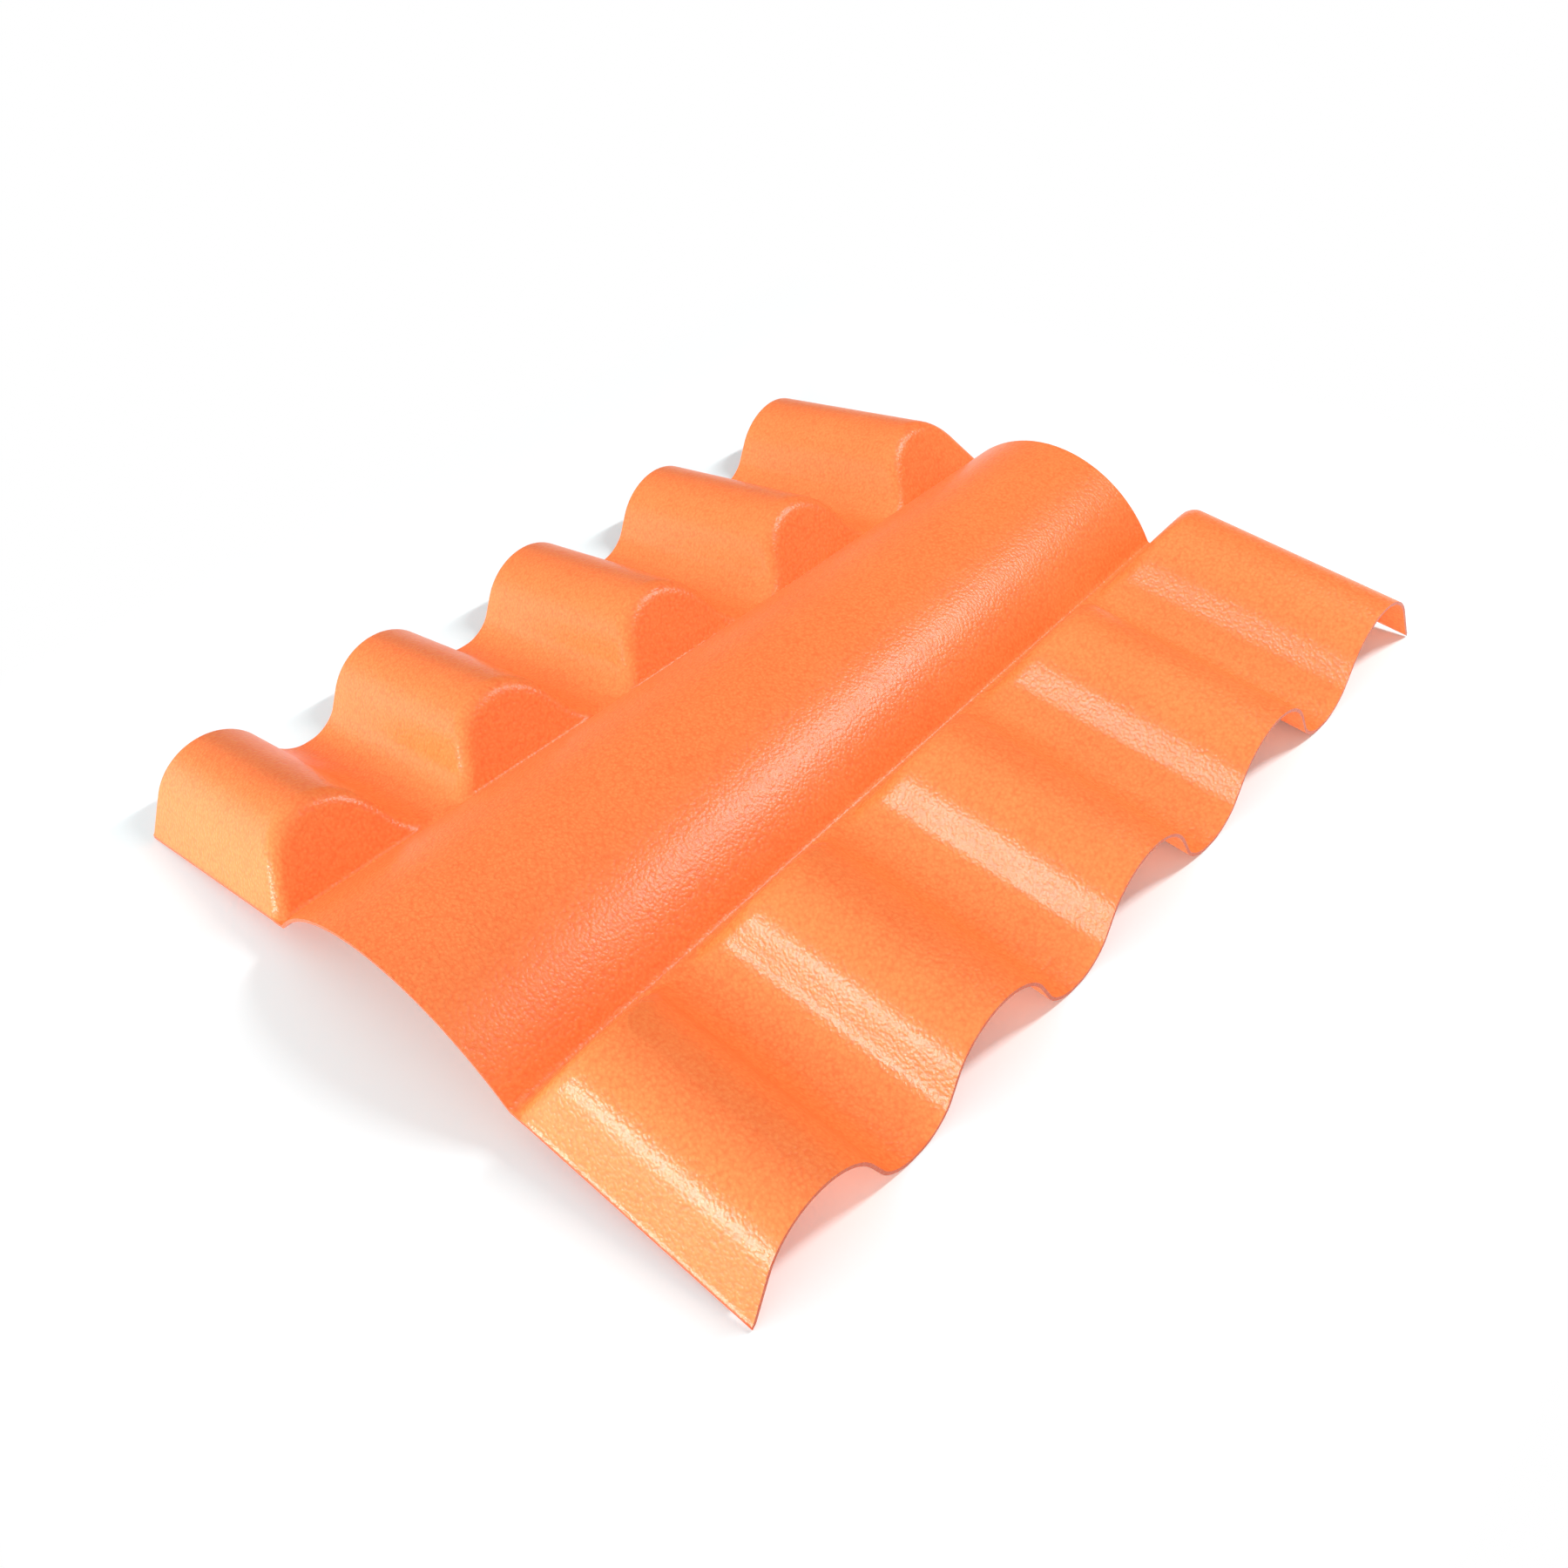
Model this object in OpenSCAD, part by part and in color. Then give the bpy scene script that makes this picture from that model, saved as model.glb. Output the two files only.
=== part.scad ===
// Ridge cap for corrugated roofing, moulded in one piece from plastic sheet.
// A tapered half-round barrel runs along the ridge line. A shallow wing falls away on each side of it,
// and the wings carry half-round rolls that match the waves of the roofing sheets.
// X runs across the ridge, Y along it and Z up. The wide end of the barrel is at -Y.
// The eaves of both wings stand on Z = 0.

/* [Sheet] */
// Thickness of the moulded sheet
wall = 2.5; // [1.5:0.1:4]
// Distance from the ridge line to each eave, measured level
wing_reach = 312; // [260:1:400]
// Fall of each wing below level, in degrees
wing_slope = 7.5; // [2:0.5:12]

/* [Rolls] */
// Number of rolls on each wing
roll_count = 5; // [2:1:8]
// Distance between the crests of neighbouring rolls
roll_pitch = 160; // [140:1:200]
// Radius of a roll, over the outside
roll_radius = 56.5; // [45:0.5:62]
// Height of a roll over the pans beside it
roll_rise = 56; // [40:0.5:60]
// Distance from the crest of each end roll to the side edge
side_margin = 59; // [50:0.5:75]
// Lean of the roll ends toward the eave, in degrees from upright
end_lean = 26; // [10:1:45]
// Radius of the edge between a roll and its end face
end_round = 9; // [4:0.5:14]
// Radius of the blend between the flanks of a roll and the pans
base_blend = 10; // [6:0.5:14]

/* [Ridge barrel] */
// Width of the barrel between its valleys, at the wide end
barrel_width_wide = 242; // [200:1:280]
// Width of the barrel between its valleys, at the narrow end
barrel_width_narrow = 196; // [160:1:280]
// Height of the barrel over its valleys, at the wide end
barrel_rise_wide = 54; // [35:0.5:80]
// Height of the barrel over its valleys, at the narrow end
barrel_rise_narrow = 62; // [35:0.5:80]
// Distance that the narrow end of the barrel stops short of the wings beside it
narrow_setback = 36; // [4:1:60]
// Flat valley between the barrel and the roll ends
valley_width = 4; // [3:0.5:20]

/* [Hidden] */
$fn = 96;

length = (roll_count - 1) * roll_pitch + 2 * side_margin;
// Run-out of the inner shapes and the cutting blocks past the sheet's edges
spare = 40;
// Level thickness of a pan, and so the height of its top at the eave
pan_top = wall / cos(wing_slope);

// Ends of the barrel
wide_y = -length / 2;
narrow_y = length / 2 - narrow_setback;
barrel_length = narrow_y - wide_y;

// Share of the way from the wide end to the narrow end
function along(y) = (y - wide_y) / barrel_length;
function between(a, b, share) = a + (b - a) * share;
function barrel_half(y) = between(barrel_width_wide, barrel_width_narrow, along(y)) / 2;
function barrel_rise(y) = between(barrel_rise_wide, barrel_rise_narrow, along(y));
function pan_height(x) = pan_top + (wing_reach - x) * tan(wing_slope);
function arc_radius(half, rise) = (half * half + rise * rise) / (2 * rise);
// Radius and axis height of the barrel's arc at each end
radius_wide = arc_radius(barrel_half(wide_y), barrel_rise_wide);
radius_narrow = arc_radius(barrel_half(narrow_y), barrel_rise_narrow);
axis_wide = pan_height(barrel_half(wide_y)) + barrel_rise_wide - radius_wide;
axis_narrow = pan_height(barrel_half(narrow_y)) + barrel_rise_narrow - radius_narrow;
axis_climb = (axis_narrow - axis_wide) / barrel_length;
// Slant of the valley line in plan, from the barrel's taper
valley_slant = (barrel_width_narrow - barrel_width_wide) / 2 / barrel_length;
// Bite of a blend into the roll and the pan, so that it crosses both at a small angle
bite = 0.1;
// Centre of a blend's arc, across from and above the roll's axis
blend_up = roll_radius - roll_rise + base_blend - bite;
blend_out = sqrt(pow(roll_radius + base_blend - bite, 2) - blend_up * blend_up);

// Barrel as a solid cone with upright ends and a climbing axis, inset by a given thickness.
// It runs out past both ends of the sheet.
module barrel(inset) {
    gain = (radius_narrow - radius_wide) / barrel_length * spare;
    run = barrel_length + 2 * spare;
    translate([0, wide_y, axis_wide])
        multmatrix([[1, 0, 0, 0], [0, 1, 0, 0], [0, axis_climb, 1, 0], [0, 0, 0, 1]])
        rotate([-90, 0, 0]) translate([0, 0, -spare])
        cylinder(h = run, r1 = radius_wide - gain - inset, r2 = radius_narrow + gain - inset);
}

// Ground under both pans as one gabled prism, inset by a given thickness
module pans(inset) {
    drop = inset / cos(wing_slope);
    edge = wing_reach + spare;
    rotate([90, 0, 0]) linear_extrude(length + 2 * spare, center = true)
        polygon([[-edge, -2 * spare], [edge, -2 * spare], [edge, pan_height(edge) - drop],
            [0, pan_height(0) - drop], [-edge, pan_height(edge) - drop]]);
}

// Outline of half a roll through its axis: radius across, length up, with the end's edge rounded
module roll_outline(radius, run, edge) {
    square([radius - edge, run]);
    translate([0, edge]) square([radius, run - edge]);
    translate([radius - edge, edge]) circle(edge);
}

// Section of the blends on both flanks of a roll, about its axis, down into the pans
module blend_section(inset) {
    difference() {
        polygon([[-blend_out, -spare], [blend_out, -spare], [blend_out, blend_up],
            [0, 0], [-blend_out, blend_up]]);
        for (side = [-1, 1]) translate([side * blend_out, blend_up]) circle(base_blend + inset);
    }
}

// Roll along +X from its leaning end face, which also follows the slant of the valley
module roll(inset) {
    run = wing_reach + spare;
    setback = inset / cos(end_lean);
    multmatrix([[1, valley_slant, tan(end_lean), setback], [0, 1, 0, 0], [0, 0, 1, 0], [0, 0, 0, 1]]) {
        rotate([0, 90, 0]) rotate_extrude() roll_outline(roll_radius - inset, run, end_round - inset);
        translate([end_round, 0, 0]) rotate([90, 0, 90]) linear_extrude(run - end_round) blend_section(inset);
    }
}

// Rolls of the wing on the +X side, laid on its slope
module rolls(inset) {
    for (i = [0 : roll_count - 1]) {
        y = (i - (roll_count - 1) / 2) * roll_pitch;
        start = barrel_half(y) + valley_width;
        translate([start, y, pan_height(start)]) rotate([0, wing_slope, 0])
            translate([0, 0, roll_rise - roll_radius]) roll(inset);
    }
}

// Everything under one skin of the sheet
module filled(inset) {
    barrel(inset);
    pans(inset);
    rolls(inset);
    mirror([1, 0, 0]) rolls(inset);
}

module ridge_cap() {
    tall = 4 * spare + roll_rise + barrel_rise_wide;
    gap_half = (barrel_width_narrow + valley_width) / 2;
    color("orangered") difference() {
        intersection() {
            filled(0);
            translate([-wing_reach, -length / 2, 0]) cube([2 * wing_reach, length, tall]);
        }
        filled(wall);
        // Gap between the wings past the narrow end of the barrel
        translate([-gap_half, narrow_y, -spare]) cube([2 * gap_half, narrow_setback + spare, tall + spare]);
    }
}

ridge_cap();
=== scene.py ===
"""Plastic ridge cap: one moulded sheet with a tapered barrel and two wings of half-round rolls."""
import math

import bpy
import numpy as np
from mathutils import Matrix, Vector


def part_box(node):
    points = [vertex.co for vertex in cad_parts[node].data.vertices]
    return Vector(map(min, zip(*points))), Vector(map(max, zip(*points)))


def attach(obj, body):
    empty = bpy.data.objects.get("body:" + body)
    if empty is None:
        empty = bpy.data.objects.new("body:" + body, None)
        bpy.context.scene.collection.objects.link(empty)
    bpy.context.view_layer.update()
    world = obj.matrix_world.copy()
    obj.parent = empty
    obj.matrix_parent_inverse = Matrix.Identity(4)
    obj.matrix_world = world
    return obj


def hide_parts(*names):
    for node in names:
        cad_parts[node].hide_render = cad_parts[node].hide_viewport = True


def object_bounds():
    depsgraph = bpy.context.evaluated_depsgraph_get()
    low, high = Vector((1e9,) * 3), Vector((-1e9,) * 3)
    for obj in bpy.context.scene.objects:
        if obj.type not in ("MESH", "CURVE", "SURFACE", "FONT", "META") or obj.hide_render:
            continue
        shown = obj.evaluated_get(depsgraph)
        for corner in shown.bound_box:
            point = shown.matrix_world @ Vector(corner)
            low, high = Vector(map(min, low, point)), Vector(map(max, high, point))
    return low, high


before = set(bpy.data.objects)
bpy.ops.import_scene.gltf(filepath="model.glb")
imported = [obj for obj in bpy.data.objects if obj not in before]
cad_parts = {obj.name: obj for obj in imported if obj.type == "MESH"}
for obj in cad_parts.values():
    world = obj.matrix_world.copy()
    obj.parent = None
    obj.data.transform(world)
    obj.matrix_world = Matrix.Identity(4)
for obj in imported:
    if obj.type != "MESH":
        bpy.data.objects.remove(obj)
cad_low, cad_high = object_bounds()

# Sheet, in metres. The overall sizes come from the frame. The others repeat the part's own,
# apart from the flanks of the rolls and the blends.
_, node_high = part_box("ridge_cap")
REACH = node_high.x
HALF_LENGTH = node_high.y
WALL = 0.0025
SLOPE = math.radians(7.5)
PAN_TOP = WALL / math.cos(SLOPE)

# Rolls. Their flanks run straight below a rounder crest.
ROLL_COUNT = 5
ROLL_PITCH = 0.160
# Pitches from the middle of the wing to its end rolls
END_ROLL = (ROLL_COUNT - 1) / 2
ROLL_RADIUS = 0.0565
ROLL_RISE = 0.056
FLANK = math.radians(62)
CREST_RADIUS = 0.0486
END_LEAN = math.tan(math.radians(26))
END_ROUND = 0.009
BASE_BLEND, EDGE_BLEND = 0.016, 0.003

# Barrel, from its wide end at -Y to its narrow end, and the valleys beside it
HALF_WIDE, HALF_NARROW = 0.121, 0.098
RISE_WIDE, RISE_NARROW = 0.054, 0.062
NARROW_SETBACK = 0.036
WIDE_Y, NARROW_Y = -HALF_LENGTH, HALF_LENGTH - NARROW_SETBACK
BARREL_LENGTH = NARROW_Y - WIDE_Y
VALLEY_WIDTH = 0.004
VALLEY_BLEND = 0.0015
VALLEY_SLANT = (HALF_NARROW - HALF_WIDE) / BARREL_LENGTH
GAP_HALF = HALF_NARROW + VALLEY_WIDTH / 2

# Search for the height of the skin, and step for its normal
SEARCH_LOW, SEARCH_HIGH, SEARCH_STEPS = -0.02, 0.12, 40
NORMAL_STEP = 2e-5

# Mesh. The rows follow the rolls at one place across the wing and crowd where the rolls bend.
ROWS = 268
PROFILE_X = 0.24
PROFILE_POINTS = 6001
CROWDING, BEND_LIMIT = 0.012, 250
# Columns over the barrel, the valley in half widths, the ends of the rolls and the rest of the wing
BARREL_COLUMNS, END_COLUMNS, WING_COLUMNS = 24, 32, 13
VALLEY_COLUMNS = np.array([-3, -2, -1, 0, 0.5, 1, 1.5, 2])
# The columns of the ends run on past the tops of the ends
END_SPARE = 0.022

# Plastic: linear colours, features for each metre, and the depth of the grain in metres
DEEP_ORANGE, BRIGHT_ORANGE = (0.98, 0.250, 0.064, 1), (1.0, 0.268, 0.070, 1)
# Painted shade: the colour is multiplied down towards this tint in the pits of the grain
PIT_SHADE_TINT = (0.96, 0.68, 0.60)
CUT_TINT = (0.75, 0.5, 0.4, 1)
PEBBLE_SCALE, GRAIN_SCALE, CLOUD_SCALE, GLOSS_SCALE = 400, 520, 14, 30
PEBBLE_SMOOTHNESS = 0.6
PEBBLE_SPAN, PEBBLE_HEIGHTS = (0.1, 0.8), (0.8, 0)
GRAIN_SHARE = 0.5
GRAIN_DEPTH = 0.00019
PIT_SHADE_SPAN = (0.1, 1.1)
# Span that holds most values of a noise
NOISE_SPAN = (0.3, 0.7)
ROUGHNESS = (0.30, 0.35)
SPECULAR = 0.35

# Floor: linear colours beside the object and away from it, and distances outside its plan. The colour beside
# the object is tinted cyan, painted light that cancels the orange light the object bounces onto the floor.
FLOOR_HALF = 8.0
FLOOR_DROP = 0.0002
FLOOR_NEAR_AGAINST_BOUNCE, FLOOR_FAR = (0.85, 0.965, 0.985, 1), (0.955, 0.985, 0.99, 1)
BOUNCE_TINT_SPAN, FADE_SPAN = (0.0, 0.12), (0.06, 0.32)

# Camera, in radians, pixels and metres
AZIMUTH, ELEVATION, TILT = 0.8166, 0.7114, -0.1192
FOCAL_PIXELS, IMAGE = 1681.2, 1800
SENSOR_WIDTH = 36
CLIP_END = 50
AIM = Vector((0.03427, -0.04914, PAN_TOP))
DISTANCE = 1.08676

LAMP_DISTANCE = 2.0


def along(y):
    """Share of the way from the barrel's wide end to its narrow end."""
    return (y - WIDE_Y) / BARREL_LENGTH


def barrel_half(y):
    """Half the barrel's width between its valleys."""
    return HALF_WIDE + (HALF_NARROW - HALF_WIDE) * along(y)


def pan_height(x):
    """Height of a wing's pan at a distance from the ridge line."""
    return PAN_TOP + (REACH - x) * math.tan(SLOPE)


def round_join(a, b, radius):
    """Union of two solids by their distances, with a concave fillet between them."""
    u, v = np.maximum(radius - a, 0), np.maximum(radius - b, 0)
    return np.maximum(radius, np.minimum(a, b)) - np.hypot(u, v)


def round_cut(a, b, radius):
    """What two solids share, by their distances, with a rounded edge."""
    u, v = np.maximum(radius + a, 0), np.maximum(radius + b, 0)
    return np.minimum(-radius, np.maximum(a, b)) + np.hypot(u, v)


def barrel_distance(x, y, z):
    """Distance of a point over the barrel, whose section is an arc."""
    half = barrel_half(y)
    rise = RISE_WIDE + (RISE_NARROW - RISE_WIDE) * along(y)
    radius = (half * half + rise * rise) / (2 * rise)
    axis = pan_height(half) + rise - radius
    return np.hypot(x, z - axis) - radius


def wing_distance(x, y, z):
    """Distance over the wing on the x > 0 side: its pan and the nearest roll, with a leaning, rounded end."""
    pan = (z - pan_height(x)) * math.cos(SLOPE)
    index = np.clip(np.round(y / ROLL_PITCH + END_ROLL), 0, ROLL_COUNT - 1)
    middle = (index - END_ROLL) * ROLL_PITCH
    start = barrel_half(middle) + VALLEY_WIDTH
    # Along the roll, over its axis and to its side
    dx, dz = x - start, z - pan_height(start)
    run = dx * math.cos(SLOPE) - dz * math.sin(SLOPE)
    up = dx * math.sin(SLOPE) + dz * math.cos(SLOPE) - (ROLL_RISE - ROLL_RADIUS)
    side = y - middle
    over = up + CREST_RADIUS - ROLL_RADIUS
    crest = np.hypot(side, over) - CREST_RADIUS
    flank = np.abs(side) * math.sin(FLANK) + over * math.cos(FLANK) - CREST_RADIUS
    body = np.where(np.arctan2(np.abs(side), over) < FLANK, crest, flank)
    end = VALLEY_SLANT * side + END_LEAN * up - run
    end = end / math.sqrt(1 + VALLEY_SLANT ** 2 + END_LEAN ** 2)
    # The outer flanks of the end rolls run down to the sheet's side edges
    blend = np.where(np.abs(y) > END_ROLL * ROLL_PITCH, EDGE_BLEND, BASE_BLEND)
    return np.minimum(pan, round_cut(round_join(pan, body, blend), end, END_ROUND))


def skin_distance(x, y, z):
    """Distance of a point over the outer skin."""
    x = np.abs(x)
    return round_join(wing_distance(x, y, z), barrel_distance(x, y, z), VALLEY_BLEND)


def skin_height(x, y):
    """Height of the outer skin over points of the plan, found by halving."""
    low, high = np.full(x.shape, SEARCH_LOW), np.full(x.shape, SEARCH_HIGH)
    for _ in range(SEARCH_STEPS):
        middle = (low + high) / 2
        inside = skin_distance(x, y, middle) < 0
        low, high = np.where(inside, middle, low), np.where(inside, high, middle)
    return (low + high) / 2


def skin_normal(x, y, z):
    """Unit normal of the outer skin, from the slope of its distance."""
    step = NORMAL_STEP
    slope = np.stack([skin_distance(x + step, y, z) - skin_distance(x - step, y, z),
                      skin_distance(x, y + step, z) - skin_distance(x, y - step, z),
                      skin_distance(x, y, z + step) - skin_distance(x, y, z - step)], -1)
    return slope / np.linalg.norm(slope, axis=-1, keepdims=True)


def even_steps(low, high, count, height):
    """Places between two ends, evenly spaced along a height curve and closer together where it bends."""
    fine = np.linspace(low, high, PROFILE_POINTS)
    slope = np.gradient(height(fine), fine)
    bend = np.abs(np.gradient(np.arctan(slope), fine))
    weight = np.sqrt(1 + slope ** 2) * (1 + CROWDING * np.minimum(bend, BEND_LIMIT))
    reach = np.concatenate([[0], np.cumsum((weight[1:] + weight[:-1]) / 2)])
    return np.interp(np.linspace(0, reach[-1], count), reach, fine)


def sheet_grid():
    """Plan grid of the sheet: rows along the ridge, columns across it that follow the valleys."""
    ys = even_steps(-HALF_LENGTH, HALF_LENGTH, ROWS,
                    lambda y: skin_height(np.full(y.shape, PROFILE_X), y))
    ys[np.argmin(np.abs(ys - NARROW_Y))] = NARROW_Y
    over_barrel = np.linspace(0, 1, BARREL_COLUMNS)
    valley = VALLEY_COLUMNS * VALLEY_WIDTH / 2
    end = ROLL_RISE * math.tan(math.atan(END_LEAN) + SLOPE) + END_SPARE
    over_end = np.concatenate([valley, np.linspace(valley[-1], end, END_COLUMNS)[1:]])
    over_wing = np.linspace(0, 1, WING_COLUMNS)[1:]
    half = barrel_half(np.minimum(ys, NARROW_Y))[:, None]
    right_half = np.concatenate([(half - 2 * VALLEY_WIDTH) * over_barrel, half + over_end,
                                 half + end + (REACH - half - end) * over_wing], axis=1)
    xs = np.concatenate([-right_half[:, :0:-1], right_half], axis=1)
    return xs, np.repeat(ys[:, None], xs.shape[1], axis=1)


def inner_skin(outer, normal, border):
    """Skin a wall below the outer one. At the border it stays in the plane of the cut."""
    in_plane = np.zeros((len(outer), 2), bool)
    for a, b in border:
        side = 0 if abs(outer[a, 0] - outer[b, 0]) < abs(outer[a, 1] - outer[b, 1]) else 1
        in_plane[[a, b], side] = True
    normal[:, :2] = np.where(in_plane, 0, normal[:, :2])
    inner = outer - WALL * normal / np.sum(normal ** 2, axis=1, keepdims=True)
    inner[:, 2] = np.maximum(inner[:, 2], 0)
    return inner


def sheet_mesh(name):
    """Outer skin on the grid, inner skin a wall below it, and the cut edge between the two."""
    x, y = sheet_grid()
    z = skin_height(x, y)
    rows, columns = x.shape
    ids = np.arange(rows * columns).reshape(rows, columns)
    corners = np.stack([ids[:-1, :-1], ids[:-1, 1:], ids[1:, 1:], ids[1:, :-1]], -1)
    # The wings run on past the barrel's narrow end with a gap between them
    middle_x = (x[:-1, :-1] + x[1:, 1:]) / 2
    middle_y = (y[:-1, :-1] + y[1:, 1:]) / 2
    kept = ~((middle_y > NARROW_Y) & (np.abs(middle_x) < GAP_HALF))
    top = corners[kept]
    steps = {(int(a), int(b)) for face in top for a, b in zip(face, np.roll(face, -1))}
    border = [step for step in steps if step[::-1] not in steps]
    outer = np.stack([x, y, z], -1).reshape(-1, 3)
    inner = inner_skin(outer, skin_normal(x, y, z).reshape(-1, 3), border)

    # Points in use, numbered anew: the outer skin first, then the inner one
    used = np.unique(top)
    slim = np.full(len(outer), -1)
    slim[used] = np.arange(len(used))
    top = slim[top]
    border = slim[np.array(border)]
    under = len(used)
    rim = np.stack([border[:, 0], border[:, 0] + under, border[:, 1] + under, border[:, 1]], -1)
    faces = np.concatenate([top, top[:, ::-1] + under, rim])
    mesh = bpy.data.meshes.new(name)
    mesh.from_pydata(np.concatenate([outer[used], inner[used]]).tolist(), [], faces.tolist())
    mesh.validate()
    mesh.shade_smooth()
    cut = mesh.attributes.new("cut_edge", "FLOAT", "FACE")
    cut.data.foreach_set("value", np.repeat([0.0, 1.0], [2 * len(top), len(rim)]))
    sharp_pairs = {frozenset((int(a) + k, int(b) + k)) for a, b in border for k in (0, under)}
    sharp = mesh.attributes.new("sharp_edge", "BOOLEAN", "EDGE")
    sharp.data.foreach_set("value", [frozenset(e.vertices) in sharp_pairs for e in mesh.edges])
    return mesh


def empty_tree(owner):
    """Cleared node tree of a material or a world."""
    owner.use_nodes = True
    owner.node_tree.nodes.clear()
    return owner.node_tree


def add(tree, kind, inputs=None, **settings):
    """New node with its settings. Each input is a value, or an output of another node to link."""
    node = tree.nodes.new(kind)
    for key, value in settings.items():
        setattr(node, key, value)
    for key, value in (inputs or {}).items():
        if isinstance(value, bpy.types.NodeSocket):
            tree.links.new(value, node.inputs[key])
        else:
            node.inputs[key].default_value = value
    return node


def calculate(tree, operation, *terms):
    """Output of a math node."""
    return add(tree, "ShaderNodeMath", dict(enumerate(terms)), operation=operation).outputs[0]


def remap(tree, value, span, target=(0, 1)):
    """A value moved from one span to another and held at both ends."""
    inputs = {"Value": value, "From Min": span[0], "From Max": span[1],
              "To Min": target[0], "To Max": target[1]}
    return add(tree, "ShaderNodeMapRange", inputs).outputs["Result"]


def ramp(tree, value, span, tones):
    """Colour between two tones."""
    node = add(tree, "ShaderNodeValToRGB", {"Fac": value})
    for element, position, tone in zip(node.color_ramp.elements, span, tones):
        element.position = position
        element.color = tone
    return node.outputs["Color"]


def orange_plastic():
    """Moulded orange plastic with a pebbled grain, a little cloudiness and a semi-gloss surface."""
    material = bpy.data.materials.new("orange_plastic")
    tree = empty_tree(material)
    place = add(tree, "ShaderNodeTexCoord").outputs["Object"]

    def noise(scale, detail):
        inputs = {"Scale": scale, "Detail": detail, "Vector": place}
        return add(tree, "ShaderNodeTexNoise", inputs).outputs["Fac"]

    # Grain: pebbles with a finer noise over them
    pebble_inputs = {"Scale": PEBBLE_SCALE, "Smoothness": PEBBLE_SMOOTHNESS, "Vector": place}
    pebble = add(tree, "ShaderNodeTexVoronoi", pebble_inputs, feature="SMOOTH_F1").outputs["Distance"]
    height = calculate(tree, "MULTIPLY_ADD", remap(tree, noise(GRAIN_SCALE, 2), NOISE_SPAN), GRAIN_SHARE,
                       remap(tree, pebble, PEBBLE_SPAN, PEBBLE_HEIGHTS))
    bump = add(tree, "ShaderNodeBump", {"Strength": 1.0, "Distance": GRAIN_DEPTH, "Height": height})

    # Colour: cloudy orange, deeper in the pits of the grain as painted shade, and darker on the trimmed edge
    cloud = ramp(tree, noise(CLOUD_SCALE, 3), NOISE_SPAN, (DEEP_ORANGE, BRIGHT_ORANGE))
    # Painted shade in the pits of the grain, by the height of the grain
    pit_shades = {channel: remap(tree, height, PIT_SHADE_SPAN, (tint, 1.0)) for channel, tint in enumerate(PIT_SHADE_TINT)}
    pit_shade_tone = add(tree, "ShaderNodeCombineColor", pit_shades).outputs["Color"]
    pit_shaded = add(tree, "ShaderNodeMixRGB", {"Fac": 1, 1: cloud, 2: pit_shade_tone}, blend_type="MULTIPLY")
    cut = add(tree, "ShaderNodeAttribute", attribute_name="cut_edge").outputs["Fac"]
    tone = add(tree, "ShaderNodeMixRGB", {"Fac": cut, 1: pit_shaded.outputs["Color"], 2: CUT_TINT},
               blend_type="MULTIPLY")

    gloss = remap(tree, noise(GLOSS_SCALE, 4), NOISE_SPAN, ROUGHNESS)
    shader = add(tree, "ShaderNodeBsdfPrincipled", {
        "Base Color": tone.outputs["Color"], "Roughness": gloss,
        "Specular IOR Level": SPECULAR, "Normal": bump.outputs["Normal"]})
    add(tree, "ShaderNodeOutputMaterial", {0: shader.outputs[0]})
    return material


def floor_material():
    """Matt floor, tinted cyan beside the object as painted light against the object's orange bounce, that
    fades to a white backdrop away from it.
    """
    material = bpy.data.materials.new("floor")
    tree = empty_tree(material)
    # Distance outside the object's plan
    point = add(tree, "ShaderNodeTexCoord").outputs["Object"]
    place = add(tree, "ShaderNodeVectorMath", {0: point}, operation="ABSOLUTE")
    beyond = add(tree, "ShaderNodeVectorMath",
                 {0: place.outputs["Vector"], 1: (REACH, HALF_LENGTH, 0)}, operation="SUBTRACT")
    sides = add(tree, "ShaderNodeSeparateXYZ", {0: beyond.outputs["Vector"]})
    distance = calculate(tree, "MAXIMUM", sides.outputs["X"], sides.outputs["Y"])
    # Painted light: less red beside the object, to cancel the orange light it bounces onto the floor
    tone = ramp(tree, remap(tree, distance, BOUNCE_TINT_SPAN), (0, 1), (FLOOR_NEAR_AGAINST_BOUNCE, FLOOR_FAR))
    matt = add(tree, "ShaderNodeBsdfDiffuse", {"Color": tone})
    # The backdrop is there for the camera and for reflections
    path = add(tree, "ShaderNodeLightPath")
    seen = calculate(tree, "MAXIMUM", path.outputs["Is Camera Ray"], path.outputs["Is Glossy Ray"])
    share = calculate(tree, "MULTIPLY", seen, remap(tree, distance, FADE_SPAN))
    white = add(tree, "ShaderNodeEmission")
    mix = add(tree, "ShaderNodeMixShader", {0: share, 1: matt.outputs[0], 2: white.outputs[0]})
    add(tree, "ShaderNodeOutputMaterial", {0: mix.outputs[0]})
    return material


def put(name, data):
    """New object in the scene."""
    obj = bpy.data.objects.new(name, data)
    bpy.context.scene.collection.objects.link(obj)
    return obj


cap = put("ridge_cap_moulding", sheet_mesh("ridge_cap_moulding"))
cap.data.materials.append(orange_plastic())
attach(cap, "root")
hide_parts("ridge_cap")

# Floor
floor_corners = [(x * FLOOR_HALF, y * FLOOR_HALF, 0) for x, y in ((-1, -1), (1, -1), (1, 1), (-1, 1))]
floor_mesh = bpy.data.meshes.new("floor")
floor_mesh.from_pydata(floor_corners, [], [(0, 1, 2, 3)])
floor = put("floor", floor_mesh)
floor.location.z = cad_low[2] - FLOOR_DROP
floor.data.materials.append(floor_material())

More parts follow.
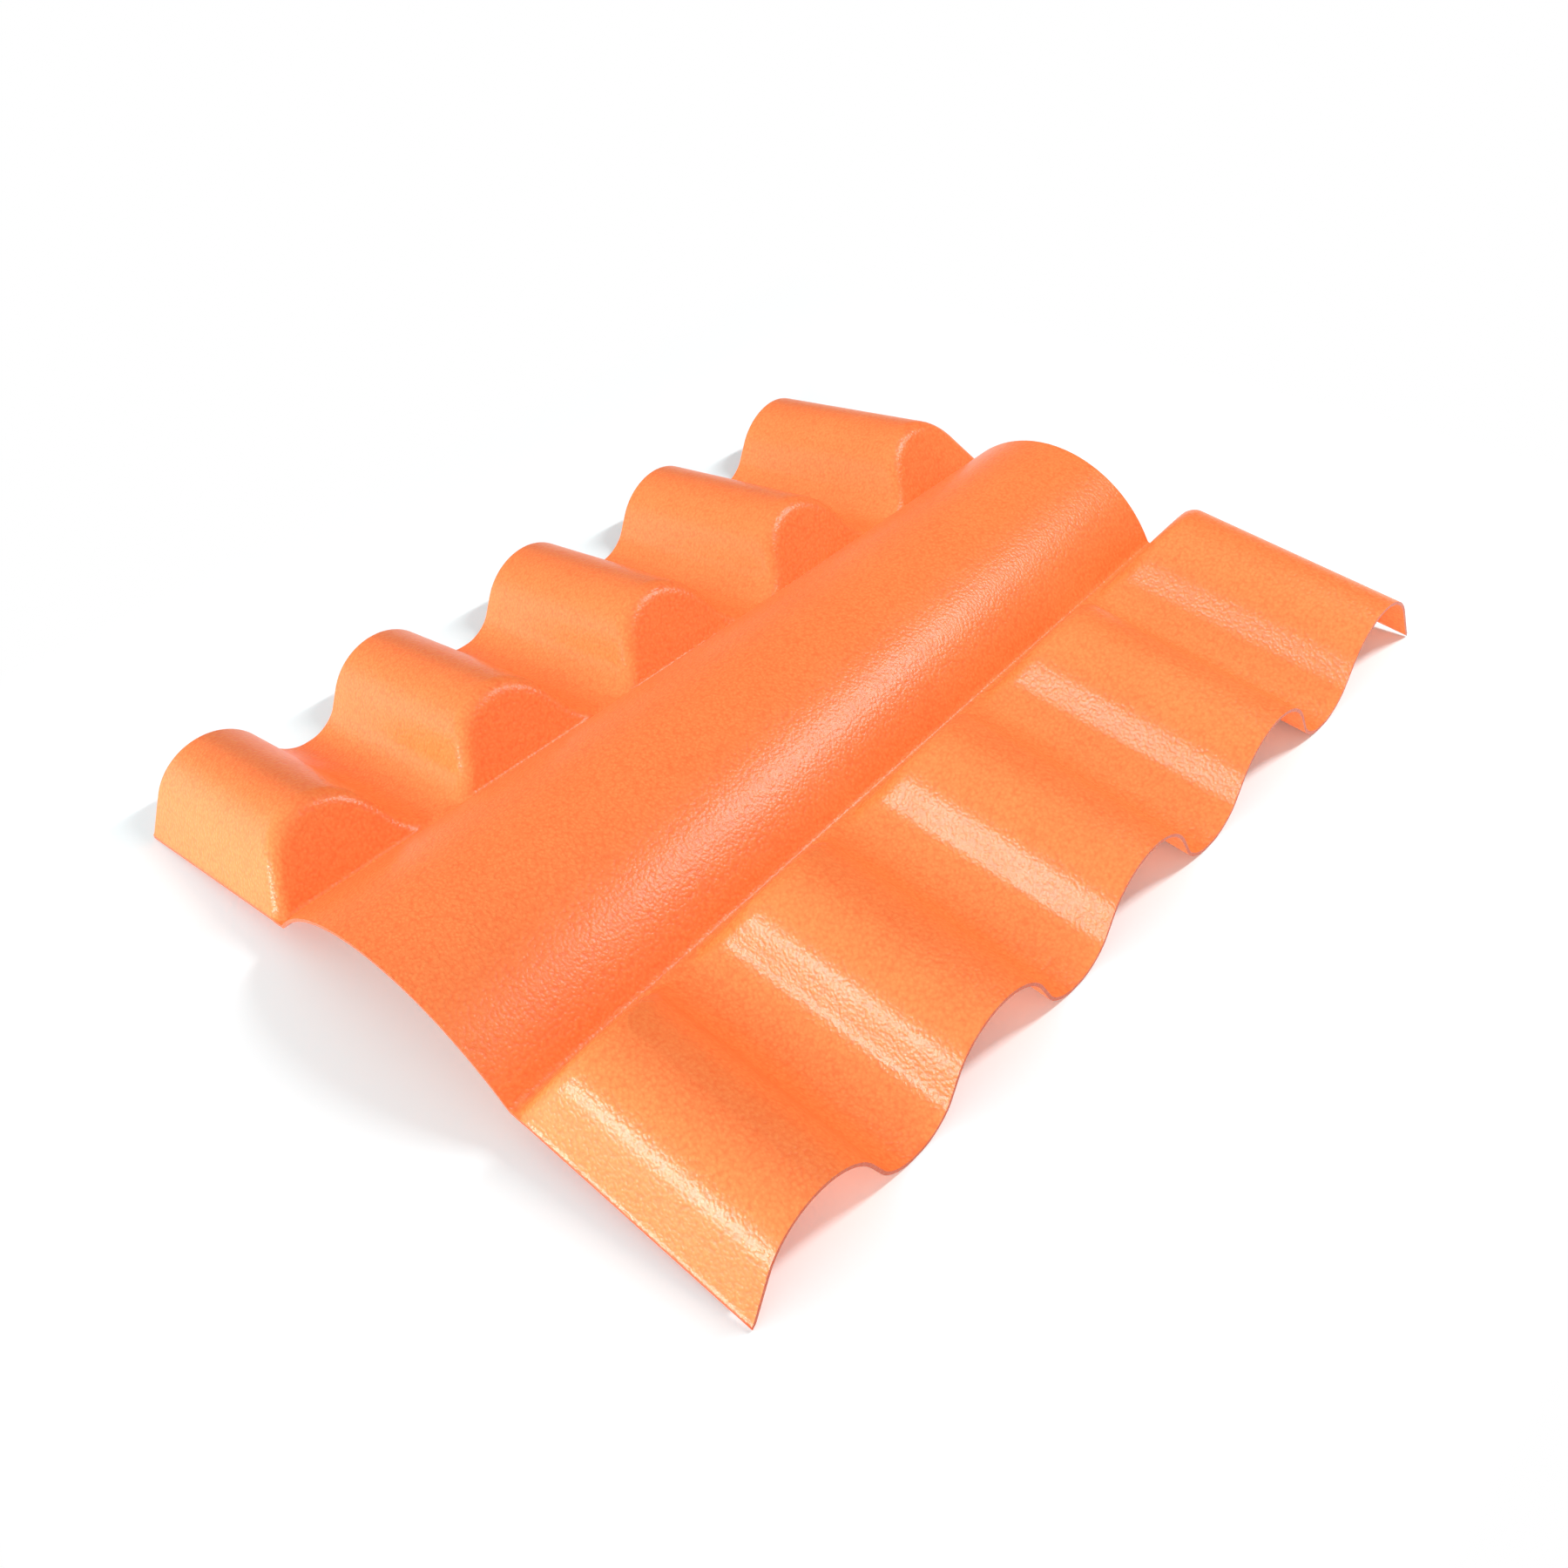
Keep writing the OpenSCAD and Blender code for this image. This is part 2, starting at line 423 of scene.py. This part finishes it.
# Camera at the photograph's viewing angle
back = Vector((math.sin(AZIMUTH) * math.cos(ELEVATION),
               -math.cos(AZIMUTH) * math.cos(ELEVATION),
               math.sin(ELEVATION)))
right = Vector((math.cos(AZIMUTH), math.sin(AZIMUTH), 0))
up = back.cross(right)
axis_x = right * math.cos(TILT) + up * math.sin(TILT)
axis_y = up * math.cos(TILT) - right * math.sin(TILT)
camera_data = bpy.data.cameras.new("camera")
camera_data.sensor_width = SENSOR_WIDTH
camera_data.lens = FOCAL_PIXELS * camera_data.sensor_width / IMAGE
camera_data.clip_end = CLIP_END
camera = put("camera", camera_data)
camera_turn = Matrix((axis_x, axis_y, back)).transposed().to_4x4()
camera.matrix_world = Matrix.Translation(AIM + back * DISTANCE) @ camera_turn
bpy.context.scene.camera = camera

# Light: a narrow key and a broad sheen from the left, which cast no shadow, and a narrow strip
# from the right and above. The surround is brighter on the left and overhead.
level_back = Vector((math.sin(AZIMUTH), -math.cos(AZIMUTH), 0))


def area(name, direction, size, radiance, long_axis, shadow=True):
    """Rectangular lamp in a direction across, toward and above the camera's level, with its long axis."""
    data = bpy.data.lights.new(name, "AREA")
    data.shape = "RECTANGLE"
    data.size, data.size_y = size
    data.energy = radiance * math.pi * size[0] * size[1]
    data.use_shadow = shadow
    lamp = put(name, data)
    toward = (right * direction[0] + level_back * direction[1] + Vector((0, 0, direction[2]))).normalized()
    along_axis = (long_axis - toward * long_axis.dot(toward)).normalized()
    turn = Matrix((along_axis, toward.cross(along_axis), toward)).transposed().to_4x4()
    lamp.matrix_world = Matrix.Translation(toward * LAMP_DISTANCE) @ turn


area("key", direction=(-0.83, 0.53, 0.16), size=(0.9, 0.14), radiance=84.0,
     long_axis=level_back, shadow=False)
area("sheen", direction=(-0.97, -0.18, 0.13), size=(1.2, 1.0), radiance=1.3,
     long_axis=level_back, shadow=False)
area("strip", direction=(0.62, -0.05, 0.78), size=(0.9, 0.07), radiance=112.0,
     long_axis=Vector((0, 1, 0)))


def glow(tree, direction, span, strengths):
    """Strength of the surround by how near a ray is to a direction, as a span of cosines."""
    facing = add(tree, "ShaderNodeTexCoord").outputs["Generated"]
    nearness = add(tree, "ShaderNodeVectorMath", {0: facing, 1: direction.normalized()},
                   operation="DOT_PRODUCT")
    return remap(tree, nearness.outputs["Value"], span, strengths)


world = bpy.data.worlds.new("studio")
tree = empty_tree(world)
left_glow = glow(tree, level_back * 0.6 - right * 0.8, span=(-1, 1), strengths=(0.15, 0.56))
top_glow = glow(tree, level_back * 0.15 - right * 0.35 + Vector((0, 0, 0.92)),
                span=(0.5, 0.95), strengths=(0.0, 0.58))
# The camera itself sees a white backdrop
camera_ray = add(tree, "ShaderNodeLightPath").outputs["Is Camera Ray"]
strength = remap(tree, camera_ray, (0, 1), (calculate(tree, "ADD", left_glow, top_glow), 1.0))
surround = add(tree, "ShaderNodeBackground", {"Color": (1, 1, 1, 1), "Strength": strength})
add(tree, "ShaderNodeOutputWorld", {0: surround.outputs[0]})
bpy.context.scene.world = world
bpy.context.scene.view_settings.view_transform = "Standard"
